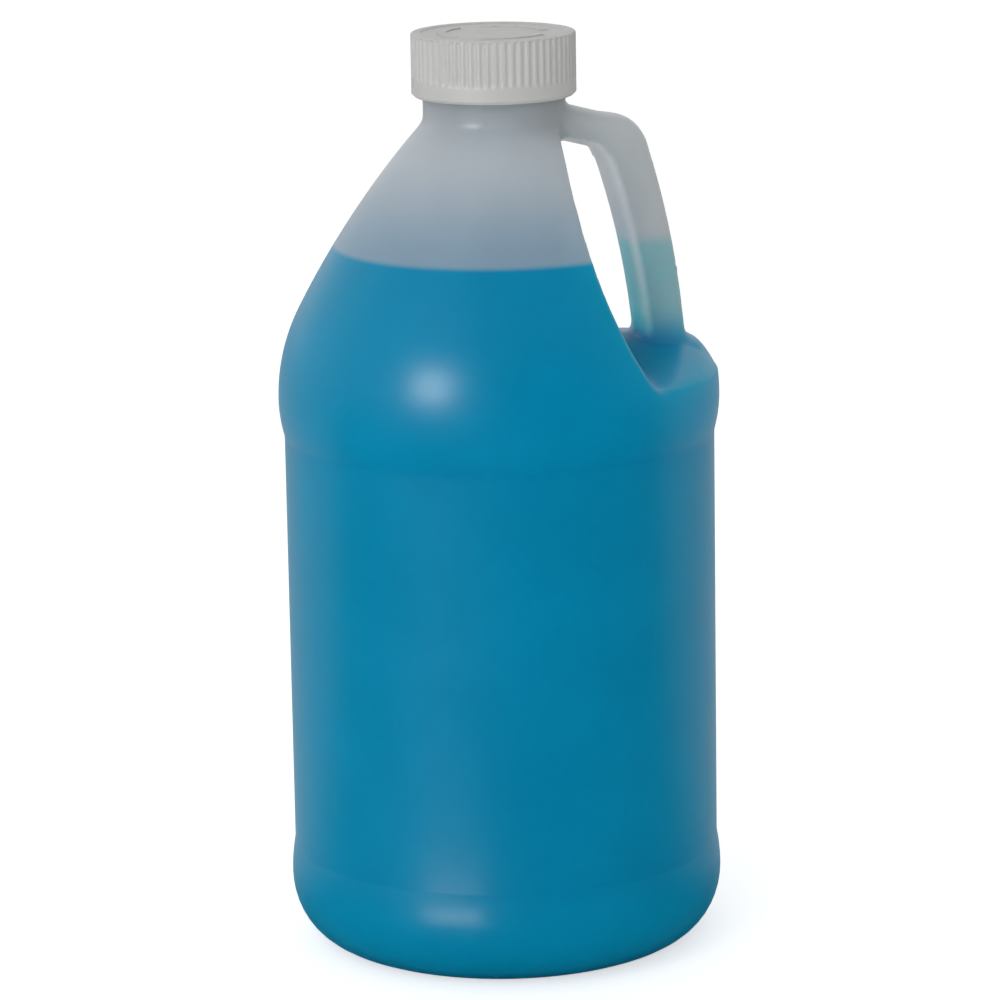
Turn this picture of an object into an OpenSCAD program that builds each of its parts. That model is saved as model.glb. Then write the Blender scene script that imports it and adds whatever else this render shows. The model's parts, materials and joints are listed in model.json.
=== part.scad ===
/* [Body] */
// Diameter of the lower bumper, the round belt just above the foot
body_d = 120.2; // [105:0.1:135]
// How far the straight panel lies back from the lower bumper
panel_inset = 0.95; // [0.5:0.05:2]
// Radial width of the rounded foot corner
foot_corner_w = 15; // [10:0.5:20]
// Height of the rounded foot corner
foot_corner_h = 18.5; // [14:0.5:24]
// Width of the flat ring that the jug stands on
foot_ring_w = 5; // [3:0.5:8]
// Rise of the domed base at its centre
base_rise = 5; // [3:0.5:8]
// Radius of the arc from the lower bumper back to the panel
bumper_arc_r = 48; // [30:1:60]
// Height from the lower bumper's widest line to the shoulder's widest line
belt_h = 134.8; // [110:0.1:160]
// Thickness of the blown wall
wall = 0.9; // [0.7:0.05:1.4]

/* [Shoulder] */
// How far the shoulder's widest line stands proud of the lower bumper
shoulder_proud = 0.5; // [0.2:0.05:1.5]
// Radius of the arc from the panel out to the shoulder's widest line
shoulder_low_r = 36; // [25:1:50]
// Radius of the arc just above the shoulder's widest line
shoulder_bulge_r = 53; // [40:1:60]
// Angle that this arc turns through before the long sweep begins
shoulder_bulge_deg = 27.5; // [22:0.5:31]
// Height from the shoulder's widest line to the foot of the neck
shoulder_h = 75.7; // [66:0.1:85]

/* [Neck] */
// Outer diameter of the plain neck below the thread
neck_d = 38.8; // [38:0.1:39.2]
// Height of the plain neck
neck_h = 8.2; // [7:0.1:10]
// Wall of the plain neck
neck_wall = 1.6; // [1.2:0.1:2]
// Diameter of the threaded finish, without its thread
finish_d = 35; // [34.4:0.1:35.6]
// Height of the threaded finish
finish_h = 10.2; // [9:0.1:11]
// How far the thread stands out from the finish
thread_h = 1.2; // [1:0.05:1.3]
// Diameter of the mouth
mouth_d = 30.4; // [28:0.1:31]
// Chamfer on the lip and on the neck's step
neck_chamfer = 0.5; // [0.3:0.05:0.8]

/* [Handle] */
// How far the grip's outer face lies inside the shoulder's widest line
grip_setback = 8.8; // [6:0.1:11]
// Thickness of the grip where it turns into the arm
grip_t = 13.6; // [12:0.1:16]
// Thickness of the grip at its foot
grip_foot_t = 12.6; // [11:0.1:16]
// Width of the grip across the parting line
grip_w = 21; // [18:0.5:24]
// Thickness of the arm that joins the neck
arm_t = 9.6; // [8.5:0.1:12]
// Width of the arm across the parting line
arm_w = 20; // [16:0.5:22]
// Lean of the grip towards the neck at its foot
grip_lean_foot = 5; // [3:0.5:8]
// Lean of the grip where it turns into the arm
grip_lean_top = 17.5; // [14:0.5:21]
// Radius of the handle's corner along its middle
corner_r = 11; // [9.5:0.5:13]
// How far the corner's outer face swells out
corner_swell = 1.4; // [0:0.1:2]
// Slope of the arm
arm_slope = 15.6; // [10:0.2:20]
// How far the arm's middle meets the neck below the foot of the neck
arm_drop = 1.4; // [0.5:0.1:3]
// Squareness of the handle's section, where 2 is an ellipse
section_power = 3; // [2:0.1:4]

/* [Finger recess] */
// How far the recess cuts in under the neck's outer wall
recess_under = 4.8; // [3.5:0.1:5.5]
// Height of the recess floor above the shoulder's widest line
recess_floor_up = 15.2; // [12:0.1:20]
// Distance below the neck's foot at which the recess wall starts to curve out
recess_arc_down = 7; // [4:0.5:12]
// Radius of the curved recess wall
recess_arc_r = 90; // [75:1:120]
// Fillet between the recess wall and its floor
recess_fillet = 3; // [2:0.5:4.5]
// Draft of the recess towards each mould half
recess_draft = 9; // [7:0.5:11]
// Rounding of the recess floor where it runs out over the shoulder
ledge_round = 12; // [6:0.5:14]
// Radius of that rounding as seen from above
ledge_plan_r = 100; // [95:1:110]

/* [Contents] */
// Distance of the liquid's surface below the foot of the neck
fill_drop = 33.5; // [25:0.5:55]
// Clearance of the liquid from the blown wall
fill_gap = 0.3; // [0.2:0.05:0.5]

/* [Closure] */
// Diameter of the cap's shell over its ribs
cap_d = 44.8; // [44.4:0.1:46]
// Height of the cap's shell
cap_h = 17.1; // [16.8:0.1:17.4]
// Number of ribs round the shell
rib_count = 62; // [48:1:72]
// Depth of the flutes between the ribs
flute_depth = 0.45; // [0.3:0.05:0.6]
// Radius of each flute
flute_r = 0.8; // [0.6:0.05:0.9]
// Height of the smooth band under the ribs
band_h = 4.6; // [3:0.1:6]
// Rounding of the shell's top edge
cap_edge = 0.8; // [0.5:0.1:1]
// Taper of the shell's bottom edge
cap_foot = 0.8; // [0.4:0.1:1]
// Thickness of the shell's top
cap_top_t = 1.3; // [1.1:0.05:1.6]
// Thickness of the inner cap's top
inner_top_t = 1.1; // [0.9:0.05:1.4]
// Wall of the inner cap
inner_wall = 1.2; // [1:0.05:1.3]
// How far the inner cap's rim flange stands out
flange_proud = 0.4; // [0.3:0.05:0.5]
// Height of the inner cap's rim flange
flange_h = 1.2; // [0.8:0.1:1.6]
// Thickness of the sealing liner
liner_t = 1; // [0.8:0.05:1.4]
// Clearance round the thread, the flange and the neck
closure_gap = 0.4; // [0.2:0.05:0.45]
// Play between the flange and the bead that holds it
bead_play = 0.15; // [0.1:0.05:0.3]
// How far the shell's bead reaches in under the flange
bead_reach = 0.6; // [0.4:0.05:0.6]
// Height of the shell's bead
bead_h = 1; // [0.6:0.1:1.1]
// Gap between the inner cap's foot and the neck's step
inner_foot_gap = 0.7; // [0.5:0.05:1]
// Number of drive lugs on each cap
lug_count = 12; // [8:1:14]
// Height of the drive lugs
lug_h = 1; // [0.8:0.05:1.2]
// Free height between the two rings of drive lugs
lug_gap = 0.3; // [0.2:0.05:0.5]
// Angle that each lug covers
lug_deg = 9; // [6:0.5:10]
// Inner radius of the ring of lugs
lug_in_r = 9; // [6:0.5:11]
// Outer radius of the ring of lugs
lug_out_r = 17; // [15:0.5:18]

/* [Hidden] */
$fn = 96;
arc_steps = 6;
section_sides = 20;
grip_rings = 7;
corner_rings = 6;
swell_share = 0.7;
over = 1;

body_r = body_d / 2;
panel_r = body_r - panel_inset;
shoulder_r = body_r + shoulder_proud;
foot_r = body_r - foot_corner_w;
foot_in_r = foot_r - foot_ring_w;
dome_r = (pow(foot_in_r, 2) + pow(base_rise, 2)) / (2 * base_rise);

bumper_z = foot_corner_h;
shoulder_z = bumper_z + belt_h;
neck_z = shoulder_z + shoulder_h;
step_z = neck_z + neck_h;
land_z = step_z + finish_h;
fill_z = neck_z - fill_drop;

neck_r = neck_d / 2;
finish_r = finish_d / 2;
mouth_r = mouth_d / 2;
neck_in_r = neck_r - neck_wall;
neck_taper_h = neck_in_r - mouth_r;

// Angles at which the bumper arcs meet the panel
bumper_deg = acos(1 - panel_inset / bumper_arc_r);
shoulder_low_deg = acos(1 - (shoulder_r - panel_r) / shoulder_low_r);

// The long sweep of the shoulder leaves the bulge arc tangentially and ends at the neck's foot
bulge_dir = [cos(shoulder_bulge_deg), sin(shoulder_bulge_deg)];
bulge_end = [shoulder_r - shoulder_bulge_r, shoulder_z] + shoulder_bulge_r * bulge_dir;
sweep_chord = [neck_r, neck_z] - bulge_end;
sweep_r = -(sweep_chord * sweep_chord) / (2 * sweep_chord * bulge_dir);
sweep_centre = bulge_end - sweep_r * bulge_dir;
sweep_end_deg = atan2(neck_z - sweep_centre[1], neck_r - sweep_centre[0]);

// The finger recess, drawn in the parting plane
recess_x = neck_r - recess_under;
recess_floor_z = shoulder_z + recess_floor_up;
recess_arc_z = neck_z - recess_arc_down;
recess_centre_x = recess_x + recess_arc_r;
recess_drop = recess_arc_z - recess_floor_z - recess_fillet;
recess_deg = asin(recess_drop / (recess_arc_r - recess_fillet));
recess_fillet_x = recess_centre_x - (recess_arc_r - recess_fillet) * cos(recess_deg);
recess_out_x = shoulder_r + ledge_round;
recess_top_z = land_z;
recess_overlap = (recess_top_z - recess_floor_z) * tan(recess_draft) + over;

// The ledge's rounding starts just short of level, so that it crosses the recess floor
ledge_start_deg = 80;
ledge_centre_x = shoulder_r - ledge_plan_r;

// The handle's middle line: grip arc, corner arc and straight arm, each tangent to the next
arm_lean = 90 - arm_slope;
grip_foot = [shoulder_r - grip_setback - grip_foot_t / 2, recess_floor_z];
arm_root = [neck_r, neck_z - arm_drop];
arm_normal = [cos(arm_lean), sin(arm_lean)];
corner_turn = arm_lean - grip_lean_top;
grip_reach = (arm_root - grip_foot) * arm_normal - corner_r * (1 - cos(corner_turn));
grip_arc_r = grip_reach / (cos(corner_turn) - cos(arm_lean - grip_lean_foot));
grip_top = arc_move(grip_foot, grip_arc_r, grip_lean_foot, grip_lean_top);
corner_end = arc_move(grip_top, corner_r, grip_lean_top, arm_lean);
arm_dir = [-sin(arm_lean), cos(arm_lean)];
arm_len = (corner_end[0] - neck_r / 2) / sin(arm_lean);
root_depth = 10;
thin_from_deg = grip_lean_top + corner_turn / 2;

// The closure's stack, from the neck's lip upwards
liner_r = finish_r + thread_h - closure_gap;
inner_bore_r = finish_r + thread_h + closure_gap / 2;
inner_r = inner_bore_r + inner_wall;
flange_r = inner_r + flange_proud;
shell_bore_r = flange_r + closure_gap;
bead_r = flange_r - bead_reach;
cap_r = cap_d / 2;
inner_foot_z = step_z + inner_foot_gap;
inner_under_z = land_z + liner_t;
inner_top_z = inner_under_z + inner_top_t;
shell_under_z = inner_top_z + 2 * lug_h + lug_gap;
cap_top_z = shell_under_z + cap_top_t;
cap_foot_z = cap_top_z - cap_h;
bead_top_z = inner_foot_z - bead_play;
flute_z = cap_foot_z + band_h;

// Points on an arc about a centre, from one angle to another
function arc(centre, r, from, to, steps = arc_steps) =
    [for (i = [0:steps]) let (a = from + (to - from) * i / steps) centre + r * [cos(a), sin(a)]];

// End of an arc along the handle, which leans further in as it climbs
function arc_move(start, r, from, to) = start + r * [cos(to) - cos(from), sin(to) - sin(from)];

// Half of the jug's outline without the neck, drawn inside the outer face by inset
function body_outline(inset) = concat(
    [for (i = [0:arc_steps]) let (r = foot_in_r * i / arc_steps) [r, dome_z(r, inset)]],
    [for (i = [0:arc_steps]) foot_point(-90 + 90 * i / arc_steps, inset)],
    arc_tail(arc([body_r - bumper_arc_r, bumper_z], bumper_arc_r - inset, 0, bumper_deg)),
    arc([shoulder_r - shoulder_low_r, shoulder_z], shoulder_low_r - inset, -shoulder_low_deg, 0),
    arc_tail(arc([shoulder_r - shoulder_bulge_r, shoulder_z], shoulder_bulge_r - inset,
        0, shoulder_bulge_deg)),
    arc_tail(arc(sweep_centre, sweep_r - inset, shoulder_bulge_deg, sweep_end_deg)),
    [[0, sweep_centre[1] + (sweep_r - inset) * sin(sweep_end_deg)]]
);

// Height of the domed base at a radius
function dome_z(r, inset) = base_rise - dome_r + sqrt(pow(dome_r + inset, 2) - pow(r, 2));

// Point on the elliptical foot corner
function foot_point(a, inset) =
    [foot_r + (foot_corner_w - inset) * cos(a), foot_corner_h + (foot_corner_h - inset) * sin(a)];

// An arc without its first point, which the arc before it already holds
function arc_tail(points) = [for (i = [1:len(points) - 1]) points[i]];

// Outline of the recess in the parting plane, made larger by inset
function recess_outline(inset) = concat(
    [[recess_x - inset, recess_top_z]],
    arc([recess_centre_x, recess_arc_z], recess_arc_r + inset, 180, 180 + recess_deg),
    arc_tail(arc([recess_fillet_x, recess_floor_z + recess_fillet], recess_fillet + inset,
        180 + recess_deg, 270, arc_steps / 2)),
    [[recess_out_x, recess_floor_z - inset], [recess_out_x, recess_top_z]]
);

// Section of the ledge's rounding, where the recess floor runs out over the shoulder
function ledge_outline(inset) = let (
    centre = [ledge_plan_r - ledge_round, recess_floor_z - ledge_round],
    r = ledge_round - inset
) concat(
    [centre + [0, ledge_round + over], centre + [0, r / sin(ledge_start_deg)]],
    arc(centre, r, ledge_start_deg, 0),
    [centre + [2 * ledge_round, 0], centre + [2 * ledge_round, ledge_round + over]]
);

// Smooth step from 0 to 1
function ease(u) = let (c = min(max(u, 0), 1)) c * c * (3 - 2 * c);

// Share of the arm's section at a lean along the corner
function arm_share(lean) = ease((lean - thin_from_deg) / (arm_lean - thin_from_deg));

// Swell of the outer face at a lean along the corner
function swell(lean) =
    corner_swell * sin(180 * min((lean - grip_lean_top) / (swell_share * corner_turn), 1));

// Blend from one value to another
function mix(from, to, share) = from + (to - from) * share;

// Stations of the handle: place, lean, thickness and width
function handle_stations() = concat(
    [[grip_foot - root_depth * [-sin(grip_lean_foot), cos(grip_lean_foot)], grip_lean_foot,
        grip_foot_t, grip_w]],
    [for (i = [0:grip_rings - 1])
        let (share = i / grip_rings, a = mix(grip_lean_foot, grip_lean_top, share))
        [arc_move(grip_foot, grip_arc_r, grip_lean_foot, a), a, mix(grip_foot_t, grip_t, share), grip_w]],
    [for (i = [0:corner_rings])
        let (a = grip_lean_top + corner_turn * i / corner_rings, share = arm_share(a))
        [arc_move(grip_top, corner_r, grip_lean_top, a) + swell(a) / 2 * [cos(a), sin(a)], a,
            mix(grip_t, arm_t, share) + swell(a), mix(grip_w, arm_w, share)]],
    [[corner_end + arm_len * arm_dir, arm_lean, arm_t, arm_w]]
);

// One rounded section of the handle
function handle_section(station, inset) =
    let (
        mid = station[0],
        lean = station[1],
        half_t = station[2] / 2 - inset,
        half_w = station[3] / 2 - inset
    )
    [for (i = [0:section_sides - 1])
        let (
            a = 360 * i / section_sides,
            u = half_t * rounded(cos(a)),
            v = half_w * rounded(sin(a))
        )
        [mid[0] + u * cos(lean), v, mid[1] + u * sin(lean)]];

// Superellipse term
function rounded(c) = sign(c) * pow(abs(c), 2 / section_power);

// Solid loft of the handle, drawn inside its outer face by inset
module handle_loft(inset) {
    stations = handle_stations();
    count = len(stations);
    last = count - 1;
    points = [for (s = stations) each handle_section(s, inset)];
    ends = [
        [for (i = [0:section_sides - 1]) i],
        [for (i = [section_sides - 1:-1:0]) last * section_sides + i]
    ];
    sides = [for (k = [0:last - 1], i = [0:section_sides - 1])
        let (
            j = (i + 1) % section_sides,
            a = k * section_sides,
            b = a + section_sides
        )
        each [[a + i, b + i, b + j], [a + i, b + j, a + j]]];
    polyhedron(points = points, faces = concat(ends, sides));
}

// Cut of one mould half's finger recess, tilted by the draft
module recess_half(inset) {
    translate([0, 0, recess_floor_z])
        rotate([recess_draft, 0, 0])
            translate([0, 0, -recess_floor_z]) {
                translate([0, recess_overlap, 0])
                    rotate([90, 0, 0])
                        linear_extrude(height = recess_overlap + body_d)
                            polygon(recess_outline(inset));
                ledge(inset);
            }
}

// Cut that rounds the recess floor down over the shoulder
module ledge(inset) {
    half_deg = acos((recess_fillet_x - inset - ledge_centre_x) / (ledge_plan_r - ledge_round));
    translate([ledge_centre_x, 0, 0])
        rotate([0, 0, -half_deg])
            rotate_extrude(angle = 2 * half_deg)
                polygon(ledge_outline(inset));
}

// Body and handle without the neck, drawn inside the outer face by inset
module jug_form(inset) {
    difference() {
        difference() {
            rotate_extrude() polygon(body_outline(inset));
            recess_half(inset);
        }
        mirror([0, 1, 0]) recess_half(inset);
    }
    handle_loft(inset);
}

module neck_solid() {
    rotate_extrude() polygon([
        [0, neck_z],
        [neck_r, neck_z],
        [neck_r, step_z - neck_chamfer],
        [neck_r - neck_chamfer, step_z],
        [finish_r, step_z],
        [finish_r, land_z - neck_chamfer],
        [finish_r - neck_chamfer, land_z],
        [0, land_z]
    ]);
}

module neck_bore() {
    rotate_extrude() polygon([
        [0, neck_z - 2 * wall],
        [mouth_r - wall, neck_z - 2 * wall],
        [neck_in_r, neck_z + wall],
        [neck_in_r, step_z - neck_taper_h],
        [mouth_r, step_z],
        [mouth_r, land_z + over],
        [0, land_z + over]
    ]);
}

// Ring of drive lugs between two heights, one of them inside the top that carries it
module lugs(bottom, top, turn) {
    edge = lug_deg / 2;
    for (i = [0:lug_count - 1])
        rotate([0, 0, turn + 360 * i / lug_count])
            translate([0, 0, bottom])
                linear_extrude(height = top - bottom)
                    polygon([
                        lug_in_r * [cos(edge), -sin(edge)],
                        lug_out_r * [cos(edge), -sin(edge)],
                        lug_out_r * [cos(edge), sin(edge)],
                        lug_in_r * [cos(edge), sin(edge)]
                    ]);
}

// Blown jug with its hollow handle and open neck
module bottle() {
    color("gainsboro") difference() {
        union() {
            jug_form(0);
            neck_solid();
        }
        jug_form(wall);
        neck_bore();
    }
}

// Contents up to the fill line, in the handle too
module liquid() {
    color("steelblue") intersection() {
        jug_form(wall + fill_gap);
        translate([0, 0, fill_z / 2]) cube([2 * body_d, 2 * body_d, fill_z], center = true);
    }
}

// Sealing disc on the neck's lip
module liner() {
    color("white") translate([0, 0, land_z]) cylinder(r = liner_r, h = liner_t);
}

// Threaded cap that seals the neck, with drive lugs on its top
module inner_cap() {
    color("whitesmoke") {
        rotate_extrude() polygon([
            [0, inner_under_z],
            [inner_bore_r, inner_under_z],
            [inner_bore_r, inner_foot_z],
            [flange_r, inner_foot_z],
            [flange_r, inner_foot_z + flange_h],
            [inner_r, inner_foot_z + flange_h + flange_proud],
            [inner_r, inner_top_z - inner_top_t / 2],
            [inner_r - inner_top_t / 2, inner_top_z],
            [0, inner_top_z]
        ]);
        lugs(inner_top_z - inner_top_t / 2, inner_top_z + lug_h, 0);
    }
}

// Ribbed outer shell, held by its bead under the inner cap's flange
module cap_shell() {
    color("white") {
        difference() {
            rotate_extrude() polygon(concat(
                [
                    [0, shell_under_z],
                    [shell_bore_r, shell_under_z],
                    [shell_bore_r, bead_top_z],
                    [bead_r, bead_top_z - bead_reach / 2],
                    [bead_r, bead_top_z - bead_h],
                    [shell_bore_r, cap_foot_z],
                    [cap_r - cap_foot, cap_foot_z],
                    [cap_r, cap_foot_z + cap_foot]
                ],
                arc([cap_r - cap_edge, cap_top_z - cap_edge], cap_edge, 0, 90, arc_steps / 2),
                [[0, cap_top_z]]
            ));
            flutes();
        }
        lugs(shell_under_z - lug_h, shell_under_z + cap_top_t / 2, 180 / lug_count);
    }
}

// Grip flutes round the shell's side
module flutes() {
    for (i = [0:rib_count - 1])
        rotate([0, 0, 360 * i / rib_count])
            translate([cap_r + flute_r - flute_depth, 0, flute_z])
                cylinder(r = flute_r, h = cap_top_z - flute_z + over, $fn = 24);
}

bottle();
liquid();
liner();
inner_cap();
cap_shell();
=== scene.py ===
"""Half-gallon blow-moulded jug with a moulded handle, a blue liquid and a ribbed push-and-turn cap."""

import json
import math

import bpy
import numpy as np
from bpy.props import FloatProperty, FloatVectorProperty, IntProperty, PointerProperty
from mathutils import Matrix, Vector

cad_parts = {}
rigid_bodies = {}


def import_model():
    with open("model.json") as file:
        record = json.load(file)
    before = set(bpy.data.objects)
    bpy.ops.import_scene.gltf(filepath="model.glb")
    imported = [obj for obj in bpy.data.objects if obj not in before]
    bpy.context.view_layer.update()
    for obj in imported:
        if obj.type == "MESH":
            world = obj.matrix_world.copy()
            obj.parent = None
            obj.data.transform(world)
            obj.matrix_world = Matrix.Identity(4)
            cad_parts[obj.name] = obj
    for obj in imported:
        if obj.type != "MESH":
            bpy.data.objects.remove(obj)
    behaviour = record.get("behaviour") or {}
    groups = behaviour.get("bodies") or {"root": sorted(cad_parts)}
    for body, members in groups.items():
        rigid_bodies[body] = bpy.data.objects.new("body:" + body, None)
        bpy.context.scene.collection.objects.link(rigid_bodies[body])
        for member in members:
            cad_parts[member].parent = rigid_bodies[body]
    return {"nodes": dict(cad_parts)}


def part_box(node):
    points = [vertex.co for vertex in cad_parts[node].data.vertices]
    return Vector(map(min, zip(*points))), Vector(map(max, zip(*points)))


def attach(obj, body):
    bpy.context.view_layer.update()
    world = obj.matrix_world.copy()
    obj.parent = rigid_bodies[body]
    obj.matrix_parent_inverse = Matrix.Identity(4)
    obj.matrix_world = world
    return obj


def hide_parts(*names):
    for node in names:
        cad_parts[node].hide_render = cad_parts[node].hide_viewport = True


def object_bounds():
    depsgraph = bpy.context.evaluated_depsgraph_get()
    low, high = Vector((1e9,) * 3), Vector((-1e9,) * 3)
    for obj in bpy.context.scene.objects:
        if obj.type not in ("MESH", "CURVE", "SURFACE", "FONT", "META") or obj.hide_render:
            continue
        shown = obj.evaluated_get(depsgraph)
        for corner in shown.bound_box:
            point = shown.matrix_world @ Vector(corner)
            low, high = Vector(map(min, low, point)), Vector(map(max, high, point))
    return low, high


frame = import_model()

bl_info = {
    "name": "Half-Gallon Jug",
    "version": (1, 0, 0),
    "blender": (4, 5, 0),
    "location": "3D View > Sidebar > Jug",
    "description": "Models a blow-moulded half-gallon jug, its liquid and its push-and-turn cap",
    "category": "Object",
}

MM = 0.001
TURN = 2 * math.pi
# Places of a colour mix node's sockets
MIX_SHARE, MIX_A, MIX_B, MIX_OUT = 0, 6, 7, 2
# Steps round a lathed piece
ROUND_STEPS = 160
# Height of the rows of faces that carry a thread
THREAD_ROW = 0.35 * MM
# Distance within which a vertex counts as lying on a face
TOUCH = 0.01 * MM
CAD_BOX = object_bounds()
BOTTLE_LOW, BOTTLE_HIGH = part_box("bottle")
CAP_LOW, CAP_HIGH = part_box("cap_shell")
INNER_LOW, INNER_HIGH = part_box("inner_cap")
LINER_LOW, LINER_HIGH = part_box("liner")
FILL_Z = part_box("liquid")[1].z


def length(name, millimetres, description):
    """A size that the sidebar shows, stored in metres."""
    return FloatProperty(
        name=name, description=description, default=millimetres * MM, min=0.0,
        unit="LENGTH", subtype="DISTANCE", precision=5)


def angle(name, degrees, description):
    """An angle that the sidebar shows, stored in radians."""
    return FloatProperty(
        name=name, description=description, default=math.radians(degrees),
        unit="ROTATION", subtype="ANGLE")


def linear(code):
    """Turn an sRGB hex colour such as #0078A2 into the linear colour that shaders take."""
    parts = [int(code[i:i + 2], 16) / 255 for i in (1, 3, 5)]
    return [p / 12.92 if p <= 0.04045 else ((p + 0.055) / 1.055) ** 2.4 for p in parts]


def colour(name, code, description):
    """A colour that the sidebar shows, given as sRGB hex."""
    return FloatVectorProperty(
        name=name, description=description, default=linear(code), size=3,
        min=0.0, max=1.0, subtype="COLOR")


def lamp_power(name, watts, description):
    """A lamp's power that the sidebar shows."""
    return FloatProperty(name=name, description=description, default=watts, min=0.0, unit="POWER")


def light_level(name, level, description):
    """A level of light that the sidebar shows, where 1 is white."""
    return FloatProperty(name=name, description=description, default=level, min=0.0)


class JugBodySizes(bpy.types.PropertyGroup):
    """Sizes of the blown body."""

    shoulder_r: length("Shoulder radius", BOTTLE_HIGH.y / MM, "Radius at the shoulder's widest line")
    shoulder_proud: length("Shoulder proud", 0.5, "How far the shoulder stands out from the lower bumper")
    panel_inset: length("Panel inset", 0.95, "How far the panel lies back from the lower bumper")
    foot_corner_w: length("Foot corner width", 15.0, "Radial width of the rounded foot corner")
    foot_corner_h: length("Foot corner height", 18.5, "Height of the rounded foot corner")
    foot_ring_w: length("Foot ring width", 5.0, "Width of the ring that the jug stands on")
    base_rise: length("Base rise", 5.0, "Rise of the domed base")
    bumper_arc_r: length("Bumper arc", 48.0, "Radius of the arc from the bumper to the panel")
    belt_h: length("Belt height", 134.8, "Height from the bumper's widest line to the shoulder's")
    shoulder_low_r: length("Lower shoulder arc", 36.0, "Radius of the arc from the panel to the shoulder")
    shoulder_bulge_r: length("Upper shoulder arc", 53.0, "Radius of the arc above the widest line")
    shoulder_bulge: angle("Upper shoulder turn", 27.5, "Angle of that arc before the long sweep begins")
    shoulder_h: length("Shoulder height", 75.7, "Height from the widest line to the foot of the neck")
    neck_r: length("Neck radius", 19.4, "Outer radius of the plain neck")
    neck_fillet: length("Neck fillet", 5.0, "Fillet between the shoulder and the neck")
    wall: length("Wall", 0.9, "Thickness of the blown wall")
    mesh_step: length("Mesh step", 1.0, "Spacing of the skin's faces round the handle and the shoulder")
    split_drop: length("Split drop", 16.0, "How far below the shoulder's widest line the fine faces end")


class JugHandleSizes(bpy.types.PropertyGroup):
    """Sizes of the handle and its finger recess."""

    grip_setback: length("Grip setback", 8.8, "How far the grip's outer face lies inside the shoulder")
    grip_t: length("Grip thickness", 13.6, "Thickness of the grip where it turns into the arm")
    grip_foot_t: length("Grip foot thickness", 12.6, "Thickness of the grip at its foot")
    grip_w: length("Grip width", 21.0, "Width of the grip across the parting line")
    arm_t: length("Arm thickness", 9.6, "Thickness of the arm that joins the neck")
    arm_w: length("Arm width", 20.0, "Width of the arm across the parting line")
    section_power: FloatProperty(
        name="Section power", description="Squareness of the handle's rounded section",
        default=3.0, min=2.0, max=4.0)
    lean_foot: angle("Foot lean", 5.0, "Lean of the grip at its foot")
    lean_top: angle("Top lean", 17.5, "Lean of the grip where it turns into the arm")
    corner_r: length("Corner radius", 11.0, "Radius of the corner along the handle's middle")
    corner_swell: length("Corner swell", 0.4, "How far the corner's outer face swells out")
    swell_share: FloatProperty(
        name="Swell share", description="Share of the corner that swells", default=0.7, subtype="FACTOR")
    arm_slope: angle("Arm slope", 15.6, "Slope of the arm")
    arm_drop: length("Arm drop", 1.4, "How far below the foot of the neck the arm's middle meets it")
    root_depth: length("Root depth", 10.0, "How far the handle's ends reach into the body")
    foot_fillet: length("Foot fillet", 4.0, "Fillet where the grip grows out of the recess floor")
    foot_sink: length("Foot fillet sink", 3.0, "How far that fillet starts below the recess floor")
    arm_fillet: length("Arm fillet", 6.0, "Fillet where the arm grows out of the neck")
    recess_under: length("Recess undercut", 4.8, "How far the recess cuts in under the neck")
    floor_up: length("Recess floor", 15.2, "Height of the recess floor above the shoulder's widest line")
    arc_down: length("Recess arc start", 7.0, "How far below the neck the recess wall starts to curve")
    arc_r: length("Recess arc", 90.0, "Radius of the curved recess wall")
    fillet: length("Recess fillet", 5.5, "Fillet between the recess wall and its floor")
    draft: angle("Draft", 9.0, "Draft of the recess towards each mould half")
    ledge_round: length("Ledge rounding", 12.0, "Rounding of the floor where it runs out over the shoulder")
    ledge_plan_r: length("Ledge plan", 100.0, "Radius of that rounding as seen from above")


class JugNeckSizes(bpy.types.PropertyGroup):
    """Sizes of the threaded neck."""

    join_z: length(
        "Join height", (CAP_LOW.z + 0.1 * MM) / MM, "Height at which the neck tube joins the blown skin")
    step_z: length("Step height", 237.2, "Height of the step under the thread")
    land_z: length("Lip height", BOTTLE_HIGH.z / MM, "Height of the neck's lip")
    finish_r: length("Finish radius", 17.5, "Radius of the threaded part without its thread")
    mouth_r: length("Mouth radius", 15.2, "Radius of the mouth")
    inner_r: length("Bore radius", 17.6, "Radius of the neck's bore below the mouth")
    chamfer: length("Chamfer", 0.5, "Chamfer of the lip and the step")
    thread_h: length("Thread height", 1.05, "How far the thread stands out")
    thread_pitch: length("Thread pitch", 25.4 / 6, "Climb of the thread in one turn")
    thread_crest: length("Thread crest", 1.1, "Width of the thread's crest")
    thread_root: length("Thread root", 2.3, "Width of the thread's root")
    thread_start_z: length("Thread start", 239.6, "Height of the thread's start")
    thread_turns: FloatProperty(
        name="Thread turns", description="Number of turns of the thread", default=1.25, min=0.5, max=2.0)


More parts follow.
